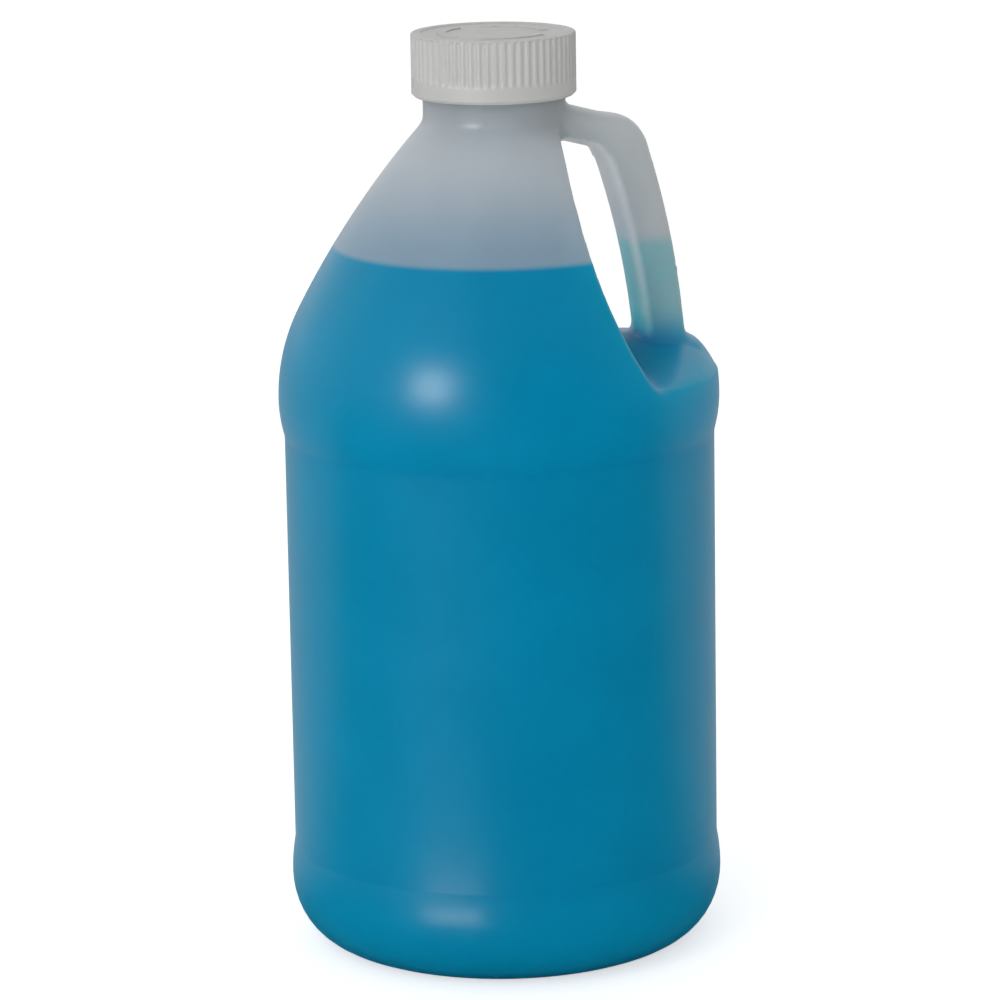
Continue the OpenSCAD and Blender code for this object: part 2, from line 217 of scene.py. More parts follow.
class JugCapSizes(bpy.types.PropertyGroup):
    """Sizes of the two-piece cap."""

    cap_r: length("Cap radius", CAP_HIGH.y / MM, "Radius of the cap over its ribs")
    rib_count: IntProperty(
        name="Ribs", description="Number of ribs round the cap", default=62, min=24, max=96)
    flute_depth: length("Flute depth", 0.5, "Depth of the flutes between the ribs")
    flute_w: length("Flute width", 1.35, "Width of each flute")
    band_h: length("Band height", 4.6, "Height of the smooth band under the ribs")
    edge_r: length("Top edge", 0.6, "Rounding of the cap's top edge")
    foot_taper: length("Foot taper", 0.8, "Taper of the cap's bottom edge")
    rim_w: length("Rim width", 2.0, "Width of the rim round the cap's top")
    rim_h: length("Rim height", 0.35, "How far the rim stands above the top")
    top_t: length("Top thickness", 1.3, "Thickness of the cap's top")
    bore_r: length("Shell bore", 20.9, "Radius of the shell's bore")
    bead_r: length("Bead radius", 19.9, "Radius inside the bead that holds the inner cap")
    bead_top_z: length("Bead height", 237.75, "Height of the bead's upper edge")
    bead_h: length("Bead size", 1.0, "Height of the bead")
    inner_bore_r: length("Inner cap bore", 18.9, "Radius of the inner cap's bore")
    inner_r: length("Inner cap radius", 20.1, "Outer radius of the inner cap")
    flange_h: length("Flange height", 1.2, "Height of the inner cap's rim flange")
    inner_top_t: length("Inner cap top", 1.1, "Thickness of the inner cap's top")
    lug_count: IntProperty(
        name="Drive lugs", description="Number of drive lugs on each cap", default=12, min=6, max=16)
    lug_h: length("Lug height", 1.0, "Height of the drive lugs")
    lug_in_r: length("Lug inner radius", 9.0, "Inner radius of the ring of lugs")
    lug_out_r: length("Lug outer radius", 17.0, "Outer radius of the ring of lugs")
    lug_turn: angle("Lug angle", 9.0, "Angle that each lug covers")
    arrow_r: length("Arrow radius", 14.0, "Radius of the turning arrows on the cap's top")
    arrow_w: length("Arrow width", 2.6, "Width of the turning arrows")
    arrow_h: length("Arrow height", 0.35, "How far the arrows stand above the top")


class JugColoursAndPaintedLight(bpy.types.PropertyGroup):
    """Colours of the finishes, with a painted glow above the liquid and a painted highlight on the handle's
    inner face.
    """

    hdpe_dry: colour("Empty wall", "#C2CBD2", "Milky wall with air behind it")
    # Painted glow: the wall just above the liquid is painted bluer, standing in for the liquid's light
    # scattered up into it
    hdpe_painted_glow: colour("Wall over the liquid", "#93ADC0", "Milky wall just above the liquid")
    hdpe_wet: colour("Filled wall", "#0096BF", "Wall with deep liquid behind it")
    hdpe_wet_thin: colour("Filled handle", "#9EB6BC", "Wall with a little liquid behind it")
    hdpe_dry_thin: colour("Empty handle", "#B5BBBD", "Wall of the empty handle")
    # Painted highlight: the handle's inner face is painted near-white, standing in for the light that it
    # catches
    hdpe_gap_painted_light: colour("Handle's inner face", "#FAFCFC", "Wall of the handle's inner face")
    liquid: colour("Liquid", "#0A6E9C", "Dyed liquid")
    cap: colour("Cap", "#DADAD8", "White polypropylene")
    foam: colour("Liner", "#E2E1DC", "Liner foam")
    floor: colour("Floor", "#F6F6F6", "Pale studio floor")


class JugStage(bpy.types.PropertyGroup):
    """Camera and light."""

    distance: length("Camera distance", 1244.1, "Level distance of the camera from the jug's axis")
    height: length("Camera height", 405.8, "Height of the camera above the floor")
    offset: length("Camera offset", 0.18, "How far the camera stands to the left of the axis")
    turn: angle("Camera turn", 13.0, "Turn of the camera from the jug's front")
    pitch: angle("Camera pitch", 12.80, "Downward tilt of the camera")
    roll: angle("Camera roll", -0.951, "Roll of the camera")
    lens: FloatProperty(
        name="Lens", description="Focal length on a 36 mm sensor", default=166.1, unit="CAMERA")
    key_power: lamp_power("Key light", 3.6, "Power of the low key light")
    tall_power: lamp_power("Tall light", 2.4, "Power of the tall soft light")
    fill_power: lamp_power("Fill light", 0.6, "Power of the fill light")
    window_power: lamp_power("Window", 10.0, "Power of the light whose glint shows on the shoulder")
    card_power: lamp_power("Table card", 0.03, "Power of the light whose glint shows on the foot")
    room_front: light_level("Room in front", 0.16, "Level of the room behind the camera")
    room_back: light_level("Room behind", 0.8, "Level of the white backdrop behind the jug")
    room_turn: angle("Room turn", 20.0, "How far the backdrop's brightest part stands to the left")
    room_gloss: light_level("Room in the gloss", 0.85, "Level of the backdrop in reflections")


def deselect():
    """Leave edit mode and select nothing."""
    if bpy.context.object and bpy.context.object.mode != "OBJECT":
        bpy.ops.object.mode_set(mode="OBJECT")
    bpy.ops.object.select_all(action="DESELECT")


def activate(*pieces):
    """Select these pieces only, with the first as the active one."""
    deselect()
    for piece in pieces:
        piece.select_set(True)
    bpy.context.view_layer.objects.active = pieces[0]


def edit(piece, mode="VERT"):
    """Go into edit mode on one piece with everything selected."""
    activate(piece)
    bpy.ops.object.mode_set(mode="EDIT")
    bpy.ops.mesh.select_mode(type=mode)
    bpy.ops.mesh.select_all(action="SELECT")


def start_line(name, points):
    """Start a piece as a line: a plane merged to one vertex and extruded from point to point."""
    deselect()
    bpy.ops.mesh.primitive_plane_add(size=1.0, enter_editmode=True)
    piece = bpy.context.object
    piece.name = name
    bpy.ops.mesh.select_mode(type="VERT")
    bpy.ops.mesh.merge(type="CENTER")
    here = Vector(points[0])
    bpy.ops.transform.translate(value=here)
    for point in map(Vector, points[1:]):
        bpy.ops.mesh.extrude_region_move(TRANSFORM_OT_translate={"value": point - here})
        here = point
    return piece


def lathe(name, outline, steps=ROUND_STEPS):
    """Spin an outline of (radius, height) points into a round piece."""
    piece = start_line(name, [(r, 0.0, z) for r, z in outline])
    bpy.ops.mesh.select_all(action="SELECT")
    bpy.ops.mesh.spin(steps=steps, angle=TURN, center=(0, 0, 0), axis=(0, 0, 1))
    tidy_faces()
    return piece


def tidy_faces():
    """Merge doubles and turn the faces outwards, in edit mode."""
    bpy.ops.mesh.select_all(action="SELECT")
    bpy.ops.mesh.remove_doubles(threshold=0.001 * MM)
    bpy.ops.mesh.normals_make_consistent(inside=False)


def apply_modifier(piece, kind, **settings):
    """Add one modifier with these settings and apply it."""
    activate(piece)
    modifier = piece.modifiers.new(kind, kind)
    for option, value in settings.items():
        setattr(modifier, option, value)
    bpy.ops.object.modifier_apply(modifier=modifier.name)


def combine(piece, tool, operation):
    """Cut a piece with a tool, or fuse them, and remove the tool."""
    deselect()
    apply_modifier(piece, "BOOLEAN", operation=operation, solver="EXACT", object=tool)
    bpy.data.objects.remove(tool)


def push_out(vertex, distance):
    """Move a vertex away from the axis, or towards it."""
    scale = 1 + distance / vertex.co.xy.length
    vertex.co.x *= scale
    vertex.co.y *= scale


def close_gap(piece, test):
    """Bridge the two open edges of a piece that pass a test."""
    edit(piece, "EDGE")
    select_open_edges(piece, test)
    bpy.ops.mesh.bridge_edge_loops()
    bpy.ops.mesh.select_all(action="SELECT")
    bpy.ops.mesh.normals_make_consistent(inside=False)
    deselect()


def arc(centre, radius, start, end, steps):
    """Points on an arc about a centre."""
    turns = [start + (end - start) * i / steps for i in range(steps + 1)]
    return [(centre[0] + radius * math.cos(a), centre[1] + radius * math.sin(a)) for a in turns]


def smooth_step(low, high, value):
    """Rise smoothly from 0 at low to 1 at high."""
    share = np.clip((value - low) / (high - low), 0.0, 1.0)
    return share * share * (3 - 2 * share)


def mix(start, end, share):
    """Blend from one value to another."""
    return start + (end - start) * share


class BodyPlaces:
    """Places that follow from the body's and handle's sizes."""

    def __init__(self, body, handle):
        self.body_r = body.shoulder_r - body.shoulder_proud
        self.panel_r = self.body_r - body.panel_inset
        self.foot_r = self.body_r - body.foot_corner_w
        self.ring_in_r = self.foot_r - body.foot_ring_w
        self.dome_r = (self.ring_in_r ** 2 + body.base_rise ** 2) / (2 * body.base_rise)
        self.shoulder_z = body.foot_corner_h + body.belt_h
        self.neck_z = self.shoulder_z + body.shoulder_h
        self.floor_z = self.shoulder_z + handle.floor_up


def body_outline(body, places, top_z):
    """Half of the jug's outline, from the middle of its base to a closed top above the neck's foot."""
    steps = 12
    dome = [
        (r, body.base_rise - places.dome_r + math.sqrt(places.dome_r ** 2 - r ** 2))
        for r in (places.ring_in_r * i / steps for i in range(steps))
    ]
    foot = [
        (places.foot_r + body.foot_corner_w * math.sin(a), body.foot_corner_h * (1 - math.cos(a)))
        for a in (math.pi / 2 * i / steps for i in range(steps))
    ]
    bumper_centre = (places.body_r - body.bumper_arc_r, body.foot_corner_h)
    bumper_turn = math.acos(1 - body.panel_inset / body.bumper_arc_r)
    low_centre = (body.shoulder_r - body.shoulder_low_r, places.shoulder_z)
    low_turn = math.acos(1 - (body.shoulder_r - places.panel_r) / body.shoulder_low_r)
    bulge_centre = (body.shoulder_r - body.shoulder_bulge_r, places.shoulder_z)
    leave = Vector((math.cos(body.shoulder_bulge), math.sin(body.shoulder_bulge)))
    sweep_start = Vector(bulge_centre) + body.shoulder_bulge_r * leave
    chord = Vector((body.neck_r, places.neck_z)) - sweep_start
    sweep_r = -chord.length_squared / (2 * chord.dot(leave))
    sweep_centre = sweep_start - sweep_r * leave
    sweep_end = math.atan2(places.neck_z - sweep_centre.y, body.neck_r - sweep_centre.x)
    cut_back = body.neck_fillet * math.tan(sweep_end / 2)
    fillet_centre = (body.neck_r + body.neck_fillet, places.neck_z + cut_back)
    return [
        *dome,
        (places.ring_in_r, 0.0),
        *foot,
        *arc(bumper_centre, body.bumper_arc_r, 0, bumper_turn, steps),
        *arc(low_centre, body.shoulder_low_r, -low_turn, 0, steps),
        *arc(bulge_centre, body.shoulder_bulge_r, 0, body.shoulder_bulge, steps)[1:],
        *arc(sweep_centre, sweep_r, body.shoulder_bulge, sweep_end - cut_back / sweep_r, steps)[1:],
        *arc(fillet_centre, body.neck_fillet, math.pi + sweep_end, math.pi, steps),
        (body.neck_r, top_z),
        (0.0, top_z),
    ]


def recess_cutters(body, handle, places, side):
    """Solids that cut one mould half's finger recess: the recess itself and the rounding of its ledge."""
    steps = 12
    wall_x = body.neck_r - handle.recess_under
    arc_z = places.neck_z - handle.arc_down
    arc_x = wall_x + handle.arc_r
    turn = math.asin((arc_z - places.floor_z - handle.fillet) / (handle.arc_r - handle.fillet))
    fillet_x = arc_x - (handle.arc_r - handle.fillet) * math.cos(turn)
    fillet_centre = (fillet_x, places.floor_z + handle.fillet)
    out_x = body.shoulder_r + handle.ledge_round
    top_z = places.neck_z + handle.root_depth
    outline = [
        (wall_x, top_z),
        *arc((arc_x, arc_z), handle.arc_r, math.pi, math.pi + turn, steps),
        *arc(fillet_centre, handle.fillet, math.pi + turn, 1.5 * math.pi, steps)[1:],
        (out_x, places.floor_z),
        (out_x, top_z),
    ]
    recess = start_line("recess_cutter", [(x, side * handle.grip_w, z) for x, z in outline])
    bpy.ops.mesh.select_all(action="SELECT")
    bpy.ops.mesh.edge_face_add()
    reach = (0, -side * (handle.grip_w + 2 * body.shoulder_r), 0)
    bpy.ops.mesh.extrude_region_move(TRANSFORM_OT_translate={"value": reach})
    tidy_faces()

    centre_x = body.shoulder_r - handle.ledge_plan_r
    inner_r = handle.ledge_plan_r - handle.ledge_round
    outer_r = handle.ledge_plan_r + handle.ledge_round
    half = math.acos((fillet_x - centre_x) / inner_r)
    rounding = [
        (inner_r, places.floor_z + handle.fillet),
        *arc((inner_r, places.floor_z - handle.ledge_round), handle.ledge_round, math.pi / 2, 0, steps),
        (outer_r, places.floor_z - handle.ledge_round),
        (outer_r, places.floor_z + handle.fillet),
    ]
    start = [(centre_x + r * math.cos(half), r * math.sin(half), z) for r, z in rounding]
    ledge = start_line("ledge_cutter", start)
    bpy.ops.mesh.select_all(action="SELECT")
    bpy.ops.mesh.edge_face_add()
    bpy.ops.mesh.spin(steps=4 * steps, angle=2 * half, center=(centre_x, 0, 0), axis=(0, 0, 1))
    tidy_faces()
    deselect()
    for cutter in (recess, ledge):
        for vertex in cutter.data.vertices:
            vertex.co.z += side * vertex.co.y * math.tan(handle.draft)
    return recess, ledge


def handle_stations(body, handle, places):
    """Sections along the handle: the place (x, z) of each one's middle, its lean, thickness and width."""
    arm_lean = math.pi / 2 - handle.arm_slope
    turn = arm_lean - handle.lean_top
    foot = Vector((body.shoulder_r - handle.grip_setback - handle.grip_foot_t / 2, places.floor_z))
    arm_root = Vector((body.neck_r, places.neck_z - handle.arm_drop))
    across = Vector((math.cos(arm_lean), math.sin(arm_lean)))
    reach = (arm_root - foot).dot(across) - handle.corner_r * (1 - math.cos(turn))
    grip_r = reach / (math.cos(turn) - math.cos(arm_lean - handle.lean_foot))

    def along(start, radius, from_lean, to_lean):
        climb = Vector((math.cos(to_lean), math.sin(to_lean)))
        return start + radius * (climb - Vector((math.cos(from_lean), math.sin(from_lean))))

    def heading(lean):
        return Vector((-math.sin(lean), math.cos(lean)))

    def flare(away, fillet):
        short = min(max(fillet - away, 0.0), fillet)
        return fillet - math.sqrt(fillet ** 2 - short ** 2)

    rings = 10
    fine = [(i / rings) ** 2 for i in range(rings)]
    stations = []
    for away in (handle.foot_sink - handle.root_depth, *(handle.foot_fillet * share for share in fine)):
        middle = foot + (away - handle.foot_sink) * heading(handle.lean_foot)
        spread = 2 * flare(away, handle.foot_fillet)
        stations.append((middle, handle.lean_foot, handle.grip_foot_t + spread, handle.grip_w + spread))
    for i in range(1, rings):
        share = i / rings
        lean = mix(handle.lean_foot, handle.lean_top, share)
        middle = along(foot, grip_r, handle.lean_foot, lean)
        stations.append((middle, lean, mix(handle.grip_foot_t, handle.grip_t, share), handle.grip_w))
    top = along(foot, grip_r, handle.lean_foot, handle.lean_top)
    for i in range(rings + 1):
        lean = handle.lean_top + turn * i / rings
        share = smooth_step(0.5, 1.0, i / rings)
        swell = handle.corner_swell * math.sin(math.pi * min(i / rings / handle.swell_share, 1))
        middle = along(top, handle.corner_r, handle.lean_top, lean)
        outward = Vector((math.cos(lean), math.sin(lean)))
        stations.append((middle + swell / 2 * outward, lean,
                         mix(handle.grip_t, handle.arm_t, share) + swell,
                         mix(handle.grip_w, handle.arm_w, share)))
    corner_end = stations[-1][0]
    wall_x = body.neck_r - handle.recess_under
    for away in (*(handle.arm_fillet * share for share in reversed(fine)), -wall_x / 2):
        reach = (corner_end.x - wall_x - away) / math.sin(arm_lean)
        spread = flare(away, handle.arm_fillet)
        middle = corner_end + reach * heading(arm_lean) - spread / 2 * across
        stations.append((middle, arm_lean, handle.arm_t + spread, handle.arm_w + spread))
    return stations


def handle_bar(handle, stations):
    """Solid handle: a tube of one ring for each station, laid along the handle's middle."""
    ring_points = 48
    deselect()
    bpy.ops.mesh.primitive_circle_add(vertices=ring_points, radius=1.0, enter_editmode=True)
    bar = bpy.context.object
    bpy.ops.mesh.select_mode(type="VERT")
    for _ in stations[1:]:
        bpy.ops.mesh.extrude_region_move(TRANSFORM_OT_translate={"value": (0, 0, 1)})
    bpy.ops.mesh.select_all(action="SELECT")
    bpy.ops.mesh.fill_holes(sides=0)
    deselect()

    def rounded(share):
        return math.copysign(abs(share) ** (2 / handle.section_power), share)

    for vertex in bar.data.vertices:
        middle, lean, thickness, width = stations[round(vertex.co.z)]
        out = thickness / 2 * rounded(vertex.co.x)
        vertex.co = (middle.x + out * math.cos(lean), width / 2 * rounded(vertex.co.y),
                     middle.y + out * math.sin(lean))
    edit(bar)
    tidy_faces()
    deselect()
    return bar


def vertex_places(piece):
    """Places of a piece's vertices, one row each."""
    places = np.empty(3 * len(piece.data.vertices))
    piece.data.vertices.foreach_get("co", places)
    return places.reshape(-1, 3)


def nearest_on_line(points, line):
    """Distance from each point to a line of points in the plane, and its nearest place on that line."""
    gaps = np.full(len(points), np.inf)
    nearest = points.copy()
    for start, end in zip(line, line[1:]):
        run = end - start
        share = np.clip((points - start) @ run / (run @ run), 0.0, 1.0)
        place = start + share[:, None] * run
        gap = np.linalg.norm(points - place, axis=1)
        closer = gap < gaps
        gaps[closer] = gap[closer]
        nearest[closer] = place[closer]
    return gaps, nearest


def blown_skin(name, body, handle):
    """Outer skin up to the neck's join: a lathe, and on it the shoulder, recess and handle as one."""
    places = BodyPlaces(body, handle)
    neck = bpy.context.scene.jug_neck
    split_z = places.shoulder_z - body.split_drop
    margin = 5 * body.mesh_step
    top_z = neck.join_z + margin
    outline = body_outline(body, places, top_z)
    shoulder = outline[:-2]
    upper = lathe(name, shoulder + [(0.0, shoulder[-1][1])])
    for side in (1, -1):
        for cutter in recess_cutters(body, handle, places, side):
            combine(upper, cutter, "DIFFERENCE")
    foot_z = places.neck_z - body.wall
    neck_bar = [(0.0, foot_z), (body.neck_r, foot_z), (body.neck_r, top_z), (0.0, top_z)]
    combine(upper, lathe("neck_bar", neck_bar), "UNION")
    combine(upper, handle_bar(handle, handle_stations(body, handle, places)), "UNION")
    apply_modifier(upper, "REMESH", mode="VOXEL", voxel_size=body.mesh_step, adaptivity=0.0)
    keep_part(upper, split_z - margin, top_z - body.mesh_step)
    soften(upper)
    true_up(upper, np.array(outline))
    keep_part(upper, split_z + body.mesh_step, neck.join_z)

    below = [point for point in outline if point[1] < split_z] + [(places.panel_r, split_z)]
    lower = lathe("lower_body", below)
    activate(upper, lower)
    bpy.ops.object.join()
    close_gap(upper, lambda co: abs(co.z - split_z) < 2 * body.mesh_step)
    return upper


def keep_part(piece, low_z, high_z):
    """Cut a piece off level at two heights and leave it open there."""
    edit(piece)
    bpy.ops.mesh.bisect(plane_co=(0, 0, high_z), plane_no=(0, 0, 1), clear_outer=True)
    bpy.ops.mesh.select_all(action="SELECT")
    bpy.ops.mesh.bisect(plane_co=(0, 0, low_z), plane_no=(0, 0, 1), clear_inner=True)
    deselect()


def soften(skin):
    """Round the rims and roots as blowing does, then even out the faces without shrinking the skin."""
    sharp, rim_passes, even_passes = math.radians(20), 5, 10
    edit(skin, "EDGE")
    bpy.ops.mesh.select_all(action="DESELECT")
    bpy.ops.mesh.edges_select_sharp(sharpness=sharp)
    bpy.ops.mesh.select_mode(type="VERT")
    bpy.ops.mesh.select_more()
    bpy.ops.mesh.select_more()
    bpy.ops.mesh.vertices_smooth(factor=0.5, repeat=rim_passes)
    bpy.ops.mesh.select_all(action="SELECT")
    for _ in range(even_passes):
        bpy.ops.mesh.vertices_smooth(factor=0.5)
        bpy.ops.mesh.vertices_smooth(factor=-0.52)
    deselect()


def select_open_edges(piece, test):
    """Select the open edges whose middle passes a test, in edit mode."""
    bpy.ops.mesh.select_mode(type="EDGE")
    bpy.ops.mesh.select_all(action="DESELECT")
    bpy.ops.mesh.select_non_manifold(
        extend=False, use_wire=False, use_boundary=True,
        use_multi_face=False, use_non_contiguous=False, use_verts=False)
    bpy.ops.object.mode_set(mode="OBJECT")
    points = piece.data.vertices
    for edge in piece.data.edges:
        middle = (points[edge.vertices[0]].co + points[edge.vertices[1]].co) / 2
        edge.select = edge.select and test(middle)
    bpy.ops.object.mode_set(mode="EDIT")


def true_up(skin, line):
    """Lay the round parts of the skin exactly on the outline, and leave the blends as they are."""
    near, keep = 0.15 * MM, 0.45 * MM
    places = vertex_places(skin)
    radius = np.linalg.norm(places[:, :2], axis=1)
    gaps, nearest = nearest_on_line(np.column_stack((radius, places[:, 2])), line)
    share = 1 - smooth_step(near, keep, gaps)
    scale = mix(1.0, nearest[:, 0] / np.maximum(radius, near), np.where(radius > near, share, 0.0))
    places[:, :2] *= scale[:, None]
    places[:, 2] = mix(places[:, 2], nearest[:, 1], share)
    skin.data.vertices.foreach_set("co", places.ravel())
    skin.data.update()


def thread_height(neck, co, centre_z):
    """How far a thread stands out at a place on the neck: a ridge on a helix, with run-in and run-out."""
    # Share of a turn over which the thread rises at its start and falls at its end
    run_in = 0.06
    turn = math.atan2(co.y, co.x) % TURN
    ridge = 0.0
    for lap in range(2):
        along = turn / TURN + lap
        if along > neck.thread_turns:
            continue
        gap = abs(co.z - centre_z - neck.thread_pitch * along)
        flank = 1 - smooth_step(neck.thread_crest / 2, neck.thread_root / 2, gap)
        stop = 1 - smooth_step(neck.thread_turns - run_in, neck.thread_turns, along)
        ends = smooth_step(0.0, run_in, along) * stop
        ridge = max(ridge, flank * ends)
    return ridge * neck.thread_h


def rows(low, high, step):
    """Even rows between two heights, both ends included."""
    count = max(1, round((high - low) / step))
    return [low + (high - low) * i / count for i in range(count + 1)]


def neck_tube(body, neck):
    """Neck above the join: step, threaded finish, lip and bore, open at its foot."""
    chamfer = neck.chamfer
    outline = [
        (body.neck_r, neck.join_z + chamfer),
        (body.neck_r, neck.step_z - chamfer),
        (body.neck_r - chamfer, neck.step_z),
        *((neck.finish_r, z) for z in rows(neck.step_z, neck.land_z - chamfer, THREAD_ROW)),
        *arc((neck.finish_r - chamfer, neck.land_z - chamfer), chamfer, 0, math.pi / 2, 4)[1:],
        *arc((neck.mouth_r + chamfer, neck.land_z - chamfer), chamfer, math.pi / 2, math.pi, 4),
        (neck.mouth_r, neck.step_z + chamfer),
        (neck.inner_r, neck.join_z + chamfer),
    ]
    tube = lathe("neck_tube", outline)
    deselect()
    for vertex in tube.data.vertices:
        if abs(vertex.co.xy.length - neck.finish_r) < TOUCH:
            push_out(vertex, thread_height(neck, vertex.co, neck.thread_start_z))
    return tube


def mark_handle(bottle, body, handle):
    """Store on each vertex how far it belongs to the handle, and how far it faces the finger gap, where the
    material paints a highlight.
    """
    places = BodyPlaces(body, handle)
    stations = handle_stations(body, handle, places)
    line = np.array([tuple(middle) for middle, *_ in stations])
    near, far = 10.5 * MM, 17 * MM
    root_low, root_high = places.floor_z - 4 * MM, places.floor_z + 10 * MM
    gap_start, gap_full = 0.5, 0.85
    at = vertex_places(bottle)
    gaps, nearest = nearest_on_line(at[:, [0, 2]], line)
    away = np.hypot(gaps, np.maximum(abs(at[:, 1]) - handle.grip_w / 4, 0.0))
    above_floor = smooth_step(root_low, root_high, at[:, 2])
    share = above_floor * (1 - smooth_step(near, far, away))

    facing = np.empty(3 * len(at))
    bottle.data.vertex_normals.foreach_get("vector", facing)
    station = np.linalg.norm(nearest[:, None] - line, axis=2).argmin(axis=1)
    lean = np.array([lean for _, lean, *_ in stations])[station]
    inward = -facing[0::3] * np.cos(lean) - facing[2::3] * np.sin(lean)
    # Painted highlight mask: faces that lean into the finger gap get the near-white painted light
    gap = share * smooth_step(gap_start, gap_full, inward)
    for name, values in (("handle_share", share), ("painted_gap_light_share", gap)):
        attribute = bottle.data.attributes.new(name, "FLOAT", "POINT")
        attribute.data.foreach_set("value", values)


def finish_piece(piece, material, body, slot, *nodes):
    """Shade a piece, give it its material and put it on its body in place of its CAD nodes."""
    if not piece.data.polygons:
        raise RuntimeError(piece.name + " has no faces")
    crease = math.radians(40)
    activate(piece)
    bpy.ops.object.shade_smooth_by_angle(angle=crease)
    piece.data.materials.clear()
    piece.data.materials.append(material)
    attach(piece, body)
    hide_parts(*nodes)
    deselect()


class JUG_OT_blow_bottle(bpy.types.Operator):
    """Blow the jug with its hollow handle, recess and threaded neck"""

    bl_idname = "jug.blow_bottle"
    bl_label = "Blow bottle"

    def execute(self, context):
        scene = context.scene
        body, handle, neck = scene.jug_body, scene.jug_handle, scene.jug_neck
        bottle = blown_skin("blown_bottle", body, handle)
        tube = neck_tube(body, neck)
        activate(bottle, tube)
        bpy.ops.object.join()
        close_gap(bottle, lambda co: co.xy.length > body.neck_r - body.wall / 2)
        mark_handle(bottle, body, handle)
        finish_piece(bottle, natural_hdpe(scene.jug_finish, "outside"), "jug", "natural_hdpe", "bottle")
        return {"FINISHED"}


class JUG_OT_blow_inside(bpy.types.Operator):
    """Give the jug the inner face of its wall"""

    bl_idname = "jug.blow_inside"
    bl_label = "Blow inside"

    def execute(self, context):
        scene = context.scene
        body, handle, neck = scene.jug_body, scene.jug_handle, scene.jug_neck
        inside = blown_skin("blown_inside", body, handle)
        apply_modifier(inside, "DISPLACE", strength=-body.wall, mid_level=0.0)
        edit(inside, "EDGE")
        select_open_edges(inside, lambda co: co.z > neck.join_z - body.wall)
        bpy.ops.mesh.extrude_edges_move()
        narrow = neck.inner_r / (body.neck_r - body.wall)
        bpy.ops.transform.resize(value=(narrow, narrow, 1), center_override=(0, 0, neck.join_z))
        bpy.ops.transform.translate(value=(0, 0, neck.chamfer))
        bpy.ops.mesh.select_all(action="SELECT")
        bpy.ops.mesh.normals_make_consistent(inside=True)
        deselect()
        mark_handle(inside, body, handle)
        finish_piece(inside, natural_hdpe(scene.jug_finish, "inside"), "jug", "natural_hdpe", "bottle")
        return {"FINISHED"}


class JUG_OT_fill_liquid(bpy.types.Operator):
    """Fill the jug and its handle with liquid up to the fill line"""

    bl_idname = "jug.fill_liquid"
    bl_label = "Fill liquid"

    def execute(self, context):
        scene = context.scene
        body = scene.jug_body
        liquid = blown_skin("blue_contents", body, scene.jug_handle)
        clearance = 0.3 * MM
        meniscus_w, meniscus_h = 1.2 * MM, 0.5 * MM
        apply_modifier(liquid, "DISPLACE", strength=-(body.wall + clearance), mid_level=0.0)
        edit(liquid)
        bpy.ops.mesh.bisect(plane_co=(0, 0, FILL_Z), plane_no=(0, 0, 1), use_fill=True, clear_outer=True)
        bpy.ops.mesh.select_mode(type="FACE")
        bpy.ops.mesh.select_all(action="DESELECT")
        bpy.ops.object.mode_set(mode="OBJECT")
        for face in liquid.data.polygons:
            face.select = face.normal.z > 0.99 and abs(face.center.z - FILL_Z) < TOUCH
        bpy.ops.object.mode_set(mode="EDIT")
        bpy.ops.mesh.inset(thickness=meniscus_w, depth=-meniscus_h)
        finish_piece(liquid, dyed_water(scene.jug_finish), "jug", "blue_liquid", "liquid")
        return {"FINISHED"}


class JUG_OT_dress_liner(bpy.types.Operator):
    """Give the sealing liner its foam"""

    bl_idname = "jug.dress_liner"
    bl_label = "Dress liner"

    def execute(self, context):
        liner = frame["nodes"]["liner"]
        liner.data.materials.clear()
        liner.data.materials.append(liner_foam(context.scene.jug_finish))
        return {"FINISHED"}


def add_lugs(cap, low_z, high_z, shift):
    """Ring of drive lugs, as boxes turned round the axis, in edit mode."""
    edge = 0.2 * MM
    middle = (cap.lug_in_r + cap.lug_out_r) / 2
    size = (cap.lug_out_r - cap.lug_in_r, 2 * middle * math.sin(cap.lug_turn / 2), high_z - low_z)
    for i in range(cap.lug_count):
        turn = TURN * (i + shift) / cap.lug_count
        place = (middle * math.cos(turn), middle * math.sin(turn), (low_z + high_z) / 2)
        bpy.ops.mesh.primitive_cube_add(size=1.0, location=place, rotation=(0, 0, turn), scale=size)
        bpy.ops.mesh.bevel(offset=edge, segments=2)


class JUG_OT_mould_inner_cap(bpy.types.Operator):
    """Mould the threaded inner cap"""

    bl_idname = "jug.mould_inner_cap"
    bl_label = "Mould inner cap"

    def execute(self, context):
        scene = context.scene
        cap, neck = scene.jug_cap, scene.jug_neck
        foot_z, under_z = INNER_LOW.z, LINER_HIGH.z
        top_z = under_z + cap.inner_top_t
        flange_r = INNER_HIGH.y
        slope = flange_r - cap.inner_r
        round_r = cap.inner_top_t / 2
        # The cap's thread is a little lower than the neck's
        thread_share = 0.9
        outline = [
            (0.0, under_z),
            *((cap.inner_bore_r, z) for z in reversed(rows(foot_z, under_z, THREAD_ROW))),
            (flange_r, foot_z),
            (flange_r, foot_z + cap.flange_h),
            (cap.inner_r, foot_z + cap.flange_h + slope),
            *arc((cap.inner_r - round_r, top_z - round_r), round_r, 0, math.pi / 2, 4),
            (0.0, top_z),
        ]
        inner = lathe("inner_screw_cap", outline)
        deselect()
        for vertex in inner.data.vertices:
            if abs(vertex.co.xy.length - cap.inner_bore_r) < TOUCH:
                ridge = thread_height(neck, vertex.co, neck.thread_start_z + neck.thread_pitch / 2)
                push_out(vertex, -ridge * thread_share)
        edit(inner)
        add_lugs(cap, top_z - cap.inner_top_t / 2, top_z + cap.lug_h, 0.0)
        finish_piece(inner, moulded_polypropylene(scene.jug_finish, "inner"), "screw_cap",
                     "inner_cap_white", "inner_cap")
        return {"FINISHED"}


